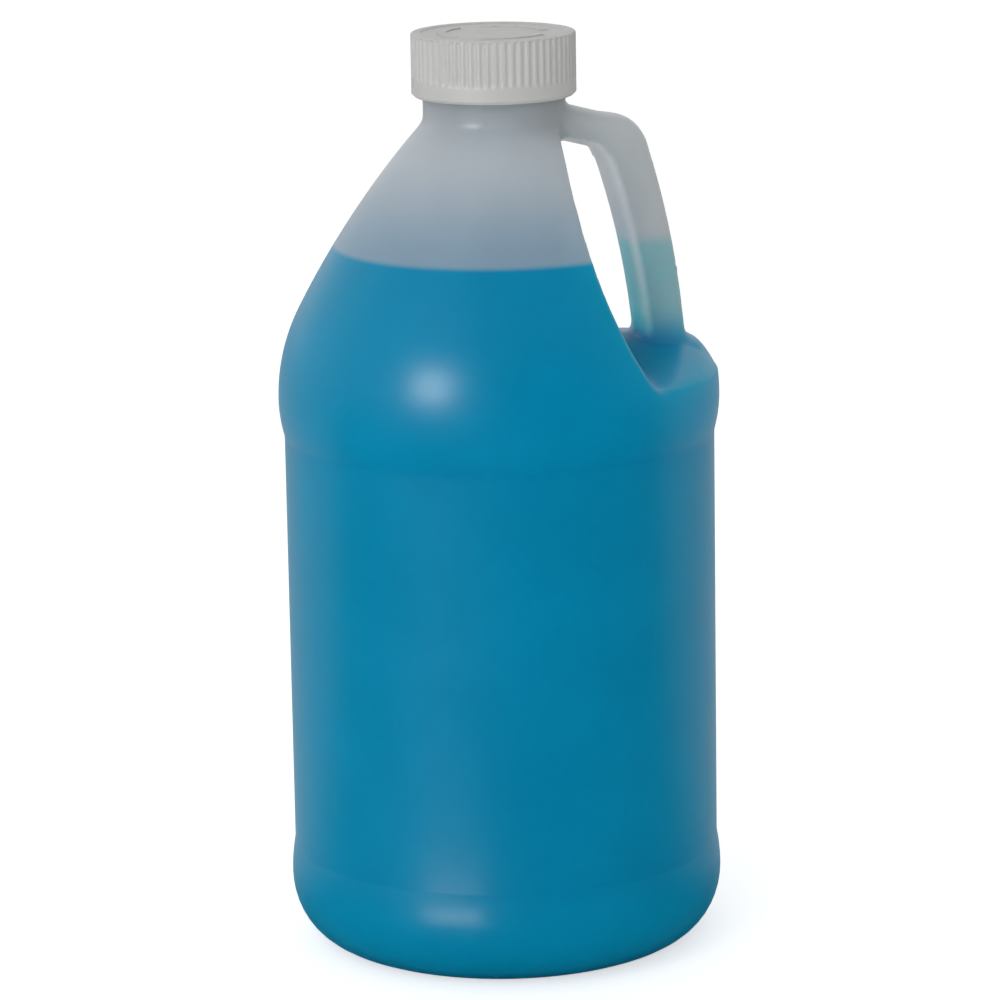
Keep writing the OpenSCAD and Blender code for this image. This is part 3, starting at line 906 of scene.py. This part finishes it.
def flute_cut(cap, co):
    """Depth of the flutes at a place on the cap's side."""
    pitch = TURN / cap.rib_count
    off = (math.atan2(co.y, co.x) / pitch + 0.5) % 1.0 - 0.5
    across = abs(off) * pitch * cap.cap_r / (cap.flute_w / 2)
    if across >= 1:
        return 0.0
    # The flutes run out softly over the band and stop at the rounded top edge
    start_z = CAP_LOW.z + cap.band_h
    rise = smooth_step(start_z - 0.3 * MM, start_z + 0.8 * MM, co.z)
    stop = 1 - smooth_step(CAP_HIGH.z - 1.2 * cap.edge_r, CAP_HIGH.z - 0.3 * cap.edge_r, co.z)
    return cap.flute_depth * math.sqrt(1 - across ** 2) * rise * stop


def add_arrows(cap, top_z):
    """Raised turning arrows on the cap's top: arcs spun from one edge, each with a pointed head."""
    count, steps = 3, 16
    sink = 0.1 * MM
    sweep = math.radians(78)
    head = math.radians(16)
    half = cap.arrow_w / 2
    for i in range(count):
        start = TURN * i / count
        for kind in ("shaft", "head"):
            turn = start if kind == "shaft" else start + sweep
            bpy.ops.mesh.select_all(action="DESELECT")
            bpy.ops.mesh.primitive_plane_add(size=1.0, location=(0, 0, top_z - sink))
            bpy.ops.mesh.merge(type="CENTER")
            wide = half if kind == "shaft" else 2 * half
            inner = Vector((math.cos(turn), math.sin(turn), 0)) * (cap.arrow_r - wide)
            outer = Vector((math.cos(turn), math.sin(turn), 0)) * (cap.arrow_r + wide)
            bpy.ops.transform.translate(value=inner)
            bpy.ops.mesh.extrude_region_move(TRANSFORM_OT_translate={"value": outer - inner})
            bpy.ops.mesh.select_linked()
            if kind == "shaft":
                bpy.ops.mesh.spin(steps=steps, angle=-sweep, center=(0, 0, top_z), axis=(0, 0, 1))
            else:
                tip = Vector((math.cos(turn + head), math.sin(turn + head), 0)) * cap.arrow_r
                bpy.ops.mesh.extrude_region_move(
                    TRANSFORM_OT_translate={"value": tip - (inner + outer) / 2})
                bpy.ops.mesh.merge(type="CENTER")
            bpy.ops.mesh.select_linked()
            bpy.ops.mesh.extrude_region_move(
                TRANSFORM_OT_translate={"value": (0, 0, cap.arrow_h + sink)})
            bpy.ops.mesh.select_linked()
            bpy.ops.mesh.normals_make_consistent(inside=False)


class JUG_OT_mould_cap_shell(bpy.types.Operator):
    """Mould the ribbed outer cap"""

    bl_idname = "jug.mould_cap_shell"
    bl_label = "Mould outer cap"

    def execute(self, context):
        scene = context.scene
        cap = scene.jug_cap
        foot_z, rim_z = CAP_LOW.z, CAP_HIGH.z
        top_z = rim_z - cap.rim_h
        under_z = rim_z - cap.top_t
        flute_row, steps_per_rib = 0.55 * MM, 8
        bead_lead = 0.3 * cap.bead_h
        side = rows(foot_z + cap.foot_taper, rim_z - cap.edge_r, flute_row)
        rim_in = cap.cap_r - cap.edge_r - cap.rim_w
        outline = [
            (0.0, under_z),
            (cap.bore_r, under_z),
            (cap.bore_r, cap.bead_top_z),
            (cap.bead_r, cap.bead_top_z - bead_lead),
            (cap.bead_r, cap.bead_top_z - cap.bead_h),
            (cap.bore_r, foot_z),
            (cap.cap_r - cap.foot_taper, foot_z),
            *((cap.cap_r, z) for z in side),
            *arc((cap.cap_r - cap.edge_r, rim_z - cap.edge_r), cap.edge_r, 0, math.pi / 2, 6)[1:],
            (rim_in, rim_z),
            (rim_in - cap.rim_h, top_z),
            (0.0, top_z),
        ]
        shell = lathe("ribbed_cap", outline, steps_per_rib * cap.rib_count)
        deselect()
        for vertex in shell.data.vertices:
            if vertex.co.xy.length > cap.cap_r - cap.edge_r and vertex.co.z > foot_z + cap.foot_taper:
                push_out(vertex, -flute_cut(cap, vertex.co))
        edit(shell)
        add_lugs(cap, under_z - cap.lug_h, under_z + cap.top_t / 2, 0.5)
        add_arrows(cap, top_z)
        finish_piece(shell, moulded_polypropylene(scene.jug_finish, "outer"), "outer_cap",
                     "cap_white", "cap_shell")
        return {"FINISHED"}


def new_material(name):
    """Start a material with an empty node tree."""
    material = bpy.data.materials.new(name)
    material.use_nodes = True
    material.node_tree.nodes.clear()
    return material, material.node_tree


def node(tree, kind, inputs=None, **settings):
    """Add one node: settings are its own options, inputs are socket values or the sockets that feed it."""
    made = tree.nodes.new(kind)
    for option, value in settings.items():
        setattr(made, option, value)
    for socket, value in (inputs or {}).items():
        if isinstance(value, bpy.types.NodeSocket):
            tree.links.new(value, made.inputs[socket])
        else:
            made.inputs[socket].default_value = value
    return made


def rgba(value, level=1.0):
    """A colour property as a shader colour, at a level of its own."""
    return (*(channel * level for channel in value), 1.0)


def natural_hdpe(finish, face):
    """Natural HDPE, blow-moulded: a satin, milky wall that takes the colour of what stands behind it, with
    a painted glow just above the liquid and a painted highlight on the handle's inner face.
    """
    material, tree = new_material("natural_hdpe_" + face)
    place = node(tree, "ShaderNodeTexCoord").outputs["Object"]
    axes = node(tree, "ShaderNodeSeparateXYZ", {"Vector": place}).outputs
    thin = node(tree, "ShaderNodeAttribute", attribute_name="handle_share").outputs["Fac"]

    # The liquid's edge is blurred by the milky wall
    edge = node(tree, "ShaderNodeMapRange", {
        "Value": thin, "To Min": 0.9 * MM, "To Max": 2.2 * MM}).outputs["Result"]
    below = node(tree, "ShaderNodeMath", {0: FILL_Z, 1: axes["Z"]}, operation="SUBTRACT").outputs["Value"]
    share = node(tree, "ShaderNodeMath", {0: below, 1: edge}, operation="DIVIDE").outputs["Value"]
    wet = node(tree, "ShaderNodeMapRange", {
        "Value": share, "From Min": -1.0, "From Max": 1.0,
    }, interpolation_type="SMOOTHSTEP").outputs["Result"]
    # Painted glow: up to 28 mm above the liquid the wall is painted bluer, standing in for the liquid's
    # light scattered up into the wall
    painted_glow = node(tree, "ShaderNodeMapRange", {
        "Value": below, "From Min": -28 * MM, "From Max": 0.0,
    }, interpolation_type="SMOOTHSTEP").outputs["Result"]
    wet_colour = node(tree, "ShaderNodeMix", {
        MIX_SHARE: thin, MIX_A: rgba(finish.hdpe_wet), MIX_B: rgba(finish.hdpe_wet_thin),
    }, data_type="RGBA").outputs[MIX_OUT]
    painted_glow_colour = node(tree, "ShaderNodeMix", {
        MIX_SHARE: painted_glow, MIX_A: rgba(finish.hdpe_dry), MIX_B: rgba(finish.hdpe_painted_glow),
    }, data_type="RGBA").outputs[MIX_OUT]
    dry_colour = node(tree, "ShaderNodeMix", {
        MIX_SHARE: thin, MIX_A: painted_glow_colour, MIX_B: rgba(finish.hdpe_dry_thin),
    }, data_type="RGBA").outputs[MIX_OUT]
    full_colour = node(tree, "ShaderNodeMix", {
        MIX_SHARE: wet, MIX_A: dry_colour, MIX_B: wet_colour,
    }, data_type="RGBA").outputs[MIX_OUT]
    # Painted highlight: the handle's inner face is painted near-white, standing in for the light that it
    # catches
    gap = node(tree, "ShaderNodeAttribute", attribute_name="painted_gap_light_share").outputs["Fac"]
    base = node(tree, "ShaderNodeMix", {
        MIX_SHARE: gap, MIX_A: full_colour, MIX_B: rgba(finish.hdpe_gap_painted_light),
    }, data_type="RGBA").outputs[MIX_OUT]

    # The wall varies in thickness in soft clouds about 25 mm across
    cloud = node(tree, "ShaderNodeTexNoise", {
        "Vector": place, "Scale": 1 / (25 * MM), "Detail": 2.0}).outputs["Fac"]
    shade = node(tree, "ShaderNodeMapRange", {
        "Value": cloud, "From Min": 0.3, "From Max": 0.7, "To Min": 0.97, "To Max": 1.03}).outputs["Result"]
    tinted = node(tree, "ShaderNodeVectorMath", {0: base, 1: shade}, operation="MULTIPLY").outputs["Vector"]
    gloss = node(tree, "ShaderNodeMapRange", {
        "Value": cloud, "From Min": 0.3, "From Max": 0.7, "To Min": 0.29, "To Max": 0.34}).outputs["Result"]

    # The mould's parting line is a ridge half a millimetre wide, in the plane of the handle
    off = node(tree, "ShaderNodeMath", {0: axes["Y"]}, operation="ABSOLUTE").outputs["Value"]
    ridge = node(tree, "ShaderNodeMapRange", {
        "Value": off, "From Min": 0.12 * MM, "From Max": 0.35 * MM, "To Min": 1.0, "To Max": 0.0,
    }, interpolation_type="SMOOTHSTEP").outputs["Result"]
    line = node(tree, "ShaderNodeBump", {
        "Height": ridge, "Strength": 0.6, "Distance": 0.12 * MM}).outputs["Normal"]
    # Grain of the blasted mould, 0.6 mm across
    grain = node(tree, "ShaderNodeTexNoise", {
        "Vector": place, "Scale": 1 / (0.6 * MM), "Detail": 2.0}).outputs["Fac"]
    bump = node(tree, "ShaderNodeBump", {
        "Height": grain, "Strength": 0.05, "Distance": 0.05 * MM, "Normal": line}).outputs["Normal"]
    # Light wanders far in the milky wall and the liquid, but the blue dye soon takes up its red
    reach = node(tree, "ShaderNodeMix", {
        MIX_SHARE: wet, MIX_A: (1.0, 1.0, 1.0, 1.0), MIX_B: (0.08, 0.9, 1.0, 1.0),
    }, data_type="RGBA").outputs[MIX_OUT]
    shader = node(tree, "ShaderNodeBsdfPrincipled", {
        "Base Color": tinted, "Roughness": gloss, "IOR": 1.54, "Specular IOR Level": 0.22, "Normal": bump,
        "Subsurface Weight": 1.0 if face == "outside" else 0.0,
        "Subsurface Radius": reach, "Subsurface Scale": 60 * MM,
    }).outputs["BSDF"]
    node(tree, "ShaderNodeOutputMaterial", {"Surface": shader})
    return material


def dyed_water(finish):
    """Dyed water-based liquid: clear, glossy and strongly coloured."""
    material, tree = new_material("dyed_water")
    place = node(tree, "ShaderNodeTexCoord").outputs["Object"]
    # The dye deepens in slow swirls about 40 mm across
    swirl = node(tree, "ShaderNodeTexNoise", {
        "Vector": place, "Scale": 1 / (40 * MM), "Detail": 3.0, "Distortion": 0.4}).outputs["Fac"]
    shade = node(tree, "ShaderNodeMix", {
        MIX_SHARE: swirl, MIX_A: rgba(finish.liquid), MIX_B: rgba(finish.liquid, 0.8),
    }, data_type="RGBA").outputs[MIX_OUT]
    shader = node(tree, "ShaderNodeBsdfPrincipled", {
        "Base Color": shade, "Roughness": 0.06, "IOR": 1.333}).outputs["BSDF"]
    node(tree, "ShaderNodeOutputMaterial", {"Surface": shader})
    return material


def liner_foam(finish):
    """Closed-cell polyethylene foam: matte, with cells about 0.6 mm across."""
    material, tree = new_material("polyethylene_foam")
    place = node(tree, "ShaderNodeTexCoord").outputs["Object"]
    cell = node(tree, "ShaderNodeTexVoronoi", {
        "Vector": place, "Scale": 1 / (0.6 * MM)}).outputs["Distance"]
    shade = node(tree, "ShaderNodeMix", {
        MIX_SHARE: cell, MIX_A: rgba(finish.foam), MIX_B: rgba(finish.foam, 0.86),
    }, data_type="RGBA").outputs[MIX_OUT]
    bump = node(tree, "ShaderNodeBump", {
        "Height": cell, "Strength": 0.4, "Distance": 0.1 * MM}).outputs["Normal"]
    shader = node(tree, "ShaderNodeBsdfPrincipled", {
        "Base Color": shade, "Roughness": 0.75, "IOR": 1.5, "Normal": bump}).outputs["BSDF"]
    node(tree, "ShaderNodeOutputMaterial", {"Surface": shader})
    return material


def moulded_polypropylene(finish, which):
    """White polypropylene, injection-moulded: satin, faintly mottled, with a fine spark-eroded grain."""
    material, tree = new_material("white_polypropylene_" + which)
    place = node(tree, "ShaderNodeTexCoord").outputs["Object"]
    # The white varies in soft spots about 6 mm across
    mottle = node(tree, "ShaderNodeTexNoise", {
        "Vector": place, "Scale": 1 / (6 * MM), "Detail": 3.0}).outputs["Fac"]
    shade = node(tree, "ShaderNodeMix", {
        MIX_SHARE: mottle, MIX_A: rgba(finish.cap), MIX_B: rgba(finish.cap, 0.93),
    }, data_type="RGBA").outputs[MIX_OUT]
    # Spark-eroded grain, 0.3 mm across
    grain = node(tree, "ShaderNodeTexNoise", {
        "Vector": place, "Scale": 1 / (0.3 * MM), "Detail": 2.0}).outputs["Fac"]
    bump = node(tree, "ShaderNodeBump", {
        "Height": grain, "Strength": 0.12, "Distance": 0.05 * MM}).outputs["Normal"]
    gloss = node(tree, "ShaderNodeMapRange", {
        "Value": mottle, "From Min": 0.3, "From Max": 0.7, "To Min": 0.38, "To Max": 0.48,
    }).outputs["Result"]
    shader = node(tree, "ShaderNodeBsdfPrincipled", {
        "Base Color": shade, "Roughness": gloss, "IOR": 1.49, "Normal": bump,
        "Subsurface Weight": 0.15, "Subsurface Radius": (1.0, 1.0, 1.0), "Subsurface Scale": 0.6 * MM,
    }).outputs["BSDF"]
    node(tree, "ShaderNodeOutputMaterial", {"Surface": shader})
    return material


def studio_floor(finish, stage):
    """Matt white studio floor that the camera sees as nearly white, with the jug's soft shadow on it."""
    # Light that the camera alone sees on the floor
    lift_level = 0.6
    # Share of the front floor that shows in the gloss, and where, in metres, it starts to grow and is all
    front_share, front_edge, back_edge = 0.1, 0.0, 0.08
    material, tree = new_material("studio_floor")
    place = node(tree, "ShaderNodeTexCoord").outputs["Object"]
    cloud = node(tree, "ShaderNodeTexNoise", {"Vector": place, "Scale": 2.0, "Detail": 1.0}).outputs["Fac"]
    shade = node(tree, "ShaderNodeMix", {
        MIX_SHARE: cloud, MIX_A: rgba(finish.floor), MIX_B: rgba(finish.floor, 0.99),
    }, data_type="RGBA").outputs[MIX_OUT]
    path = node(tree, "ShaderNodeLightPath").outputs
    # The gloss shows the white floor behind the jug, but not the floor in front of it
    ahead = (math.sin(stage.turn), math.cos(stage.turn), 0)
    back = node(tree, "ShaderNodeVectorMath", {
        0: place, 1: ahead}, operation="DOT_PRODUCT").outputs["Value"]
    shown = node(tree, "ShaderNodeMapRange", {
        "Value": back, "From Min": front_edge, "From Max": back_edge, "To Min": front_share,
    }).outputs["Result"]
    dim = node(tree, "ShaderNodeMapRange", {
        "Value": path["Is Glossy Ray"], "To Min": 1.0, "To Max": shown}).outputs["Result"]
    tone = node(tree, "ShaderNodeVectorMath", {0: shade, 1: dim}, operation="MULTIPLY").outputs["Vector"]
    matt = node(tree, "ShaderNodeBsdfDiffuse", {"Color": tone}).outputs["BSDF"]
    level = node(tree, "ShaderNodeMath", {
        0: path["Is Camera Ray"], 1: lift_level}, operation="MULTIPLY").outputs["Value"]
    lift = node(tree, "ShaderNodeEmission", {"Color": (1, 1, 1, 1), "Strength": level}).outputs["Emission"]
    total = node(tree, "ShaderNodeAddShader", {0: matt, 1: lift}).outputs["Shader"]
    node(tree, "ShaderNodeOutputMaterial", {"Surface": total})
    return material


def add_camera(stage):
    """Camera at the photograph's viewing angle."""
    ahead = Vector((math.sin(stage.turn), math.cos(stage.turn), 0))
    right = Vector((math.cos(stage.turn), -math.sin(stage.turn), 0))
    forward = ahead * math.cos(stage.pitch) - Vector((0, 0, math.sin(stage.pitch)))
    up = right.cross(forward)
    across = right * math.cos(stage.roll) + up * math.sin(stage.roll)
    upward = up * math.cos(stage.roll) - right * math.sin(stage.roll)
    eye = Vector((0, 0, stage.height)) - stage.distance * ahead - stage.offset * right
    data = bpy.data.cameras.new("photo_camera")
    data.sensor_width = 36.0
    data.lens = stage.lens
    data.clip_start = 0.05
    data.clip_end = 50.0
    camera = bpy.data.objects.new("photo_camera", data)
    bpy.context.scene.collection.objects.link(camera)
    camera.matrix_world = Matrix.Translation(eye) @ Matrix((across, upward, -forward)).transposed().to_4x4()
    bpy.context.scene.camera = camera


def add_soft_light(name, stage, turn, lift, distance, size, power, target_z, gloss):
    """Soft light, turned to the camera's right and lifted, that lights faces or shows in their gloss."""
    target = Vector((0, 0, target_z))
    side = stage.turn - turn
    away = Vector((-math.sin(side) * math.cos(lift), -math.cos(side) * math.cos(lift), math.sin(lift)))
    data = bpy.data.lights.new(name, "AREA")
    data.shape = "RECTANGLE"
    data.size, data.size_y = size
    data.energy = power
    light = bpy.data.objects.new(name, data)
    bpy.context.scene.collection.objects.link(light)
    light.location = target + away * distance
    light.rotation_mode = "QUATERNION"
    light.rotation_quaternion = away.to_track_quat("Z", "Y")
    light.visible_diffuse = not gloss
    light.visible_glossy = gloss


def light_room(stage):
    """Soft room light that grows towards the white backdrop, which the camera sees as plain white."""
    world = bpy.data.worlds.new("studio")
    world.use_nodes = True
    tree = world.node_tree
    tree.nodes.clear()
    brightest = stage.turn - stage.room_turn
    ahead = (math.sin(brightest), math.cos(brightest), 0)
    way = node(tree, "ShaderNodeTexCoord").outputs["Generated"]
    back = node(tree, "ShaderNodeVectorMath", {
        0: way, 1: ahead}, operation="DOT_PRODUCT").outputs["Value"]
    path = node(tree, "ShaderNodeLightPath").outputs
    # The room behind the camera is too dim to show in the gloss
    front = node(tree, "ShaderNodeMapRange", {
        "Value": path["Is Glossy Ray"], "To Min": stage.room_front, "To Max": 0.0}).outputs["Result"]
    behind = node(tree, "ShaderNodeMapRange", {
        "Value": path["Is Glossy Ray"], "To Min": stage.room_back, "To Max": stage.room_gloss,
    }).outputs["Result"]
    room = node(tree, "ShaderNodeMapRange", {
        "Value": back, "From Min": -1.0, "To Min": front, "To Max": behind}).outputs["Result"]
    level = node(tree, "ShaderNodeMath", {
        0: room, 1: path["Is Camera Ray"]}, operation="MAXIMUM").outputs["Value"]
    shine = node(tree, "ShaderNodeBackground", {
        "Color": (1, 1, 1, 1), "Strength": level}).outputs["Background"]
    node(tree, "ShaderNodeOutputWorld", {"Surface": shine})
    bpy.context.scene.world = world


class JUG_OT_set_stage(bpy.types.Operator):
    """Set the floor, the soft light and the camera"""

    bl_idname = "jug.set_stage"
    bl_label = "Set stage"

    def execute(self, context):
        scene = context.scene
        stage = scene.jug_stage
        floor_size = 24.0
        deselect()
        bpy.ops.mesh.primitive_plane_add(size=floor_size, location=(0, 0, CAD_BOX[0].z))
        floor = context.object
        floor.name = "studio_floor"
        floor.data.materials.append(studio_floor(scene.jug_finish, stage))
        add_camera(stage)
        # Turn and lift are in degrees, and distance, size and target in metres
        for name, turn, lift, distance, size, power, target_z, gloss in (
                ("low_key", -10, 12, 1.3, (0.5, 0.5), stage.key_power, 0.16, False),
                ("tall_soft", -30, 38, 1.4, (0.5, 0.9), stage.tall_power, 0.16, False),
                ("side_fill", 58, 15, 1.5, (0.4, 0.5), stage.fill_power, 0.16, False),
                ("window", -35, 16, 1.3, (0.42, 0.36), stage.window_power, 0.16, True),
                ("table_card", -23, 2, 0.14, (0.06, 0.008), stage.card_power, 0.002, True)):
            add_soft_light(
                name, stage, math.radians(turn), math.radians(lift), distance, size, power, target_z, gloss)
        light_room(stage)
        scene.view_settings.view_transform = "Standard"
        return {"FINISHED"}


class JUG_PT_sidebar(bpy.types.Panel):
    """Sizes, colours and steps of the jug"""

    bl_idname = "JUG_PT_sidebar"
    bl_label = "Half-Gallon Jug"
    bl_space_type = "VIEW_3D"
    bl_region_type = "UI"
    bl_category = "Jug"

    def draw(self, context):
        for step in STEPS:
            self.layout.operator(step.bl_idname)
        for name in GROUPS:
            group = getattr(context.scene, name)
            box = self.layout.box()
            for prop in group.__annotations__:
                box.prop(group, prop)


GROUPS = {
    "jug_body": JugBodySizes,
    "jug_handle": JugHandleSizes,
    "jug_neck": JugNeckSizes,
    "jug_cap": JugCapSizes,
    "jug_finish": JugColoursAndPaintedLight,
    "jug_stage": JugStage,
}
STEPS = (
    JUG_OT_blow_bottle,
    JUG_OT_blow_inside,
    JUG_OT_fill_liquid,
    JUG_OT_dress_liner,
    JUG_OT_mould_inner_cap,
    JUG_OT_mould_cap_shell,
    JUG_OT_set_stage,
)


def register():
    """Register the sizes, the steps and the panel."""
    for name, group in GROUPS.items():
        bpy.utils.register_class(group)
        setattr(bpy.types.Scene, name, PointerProperty(type=group))
    for step in STEPS:
        bpy.utils.register_class(step)
    bpy.utils.register_class(JUG_PT_sidebar)


def unregister():
    """Take everything back out."""
    bpy.utils.unregister_class(JUG_PT_sidebar)
    for step in reversed(STEPS):
        bpy.utils.unregister_class(step)
    for name, group in reversed(GROUPS.items()):
        delattr(bpy.types.Scene, name)
        bpy.utils.unregister_class(group)


def main():
    """Build the jug and its stage."""
    register()
    bpy.ops.jug.blow_bottle()
    bpy.ops.jug.blow_inside()
    bpy.ops.jug.fill_liquid()
    bpy.ops.jug.dress_liner()
    bpy.ops.jug.mould_inner_cap()
    bpy.ops.jug.mould_cap_shell()
    bpy.ops.jug.set_stage()


if __name__ == "__main__":
    main()
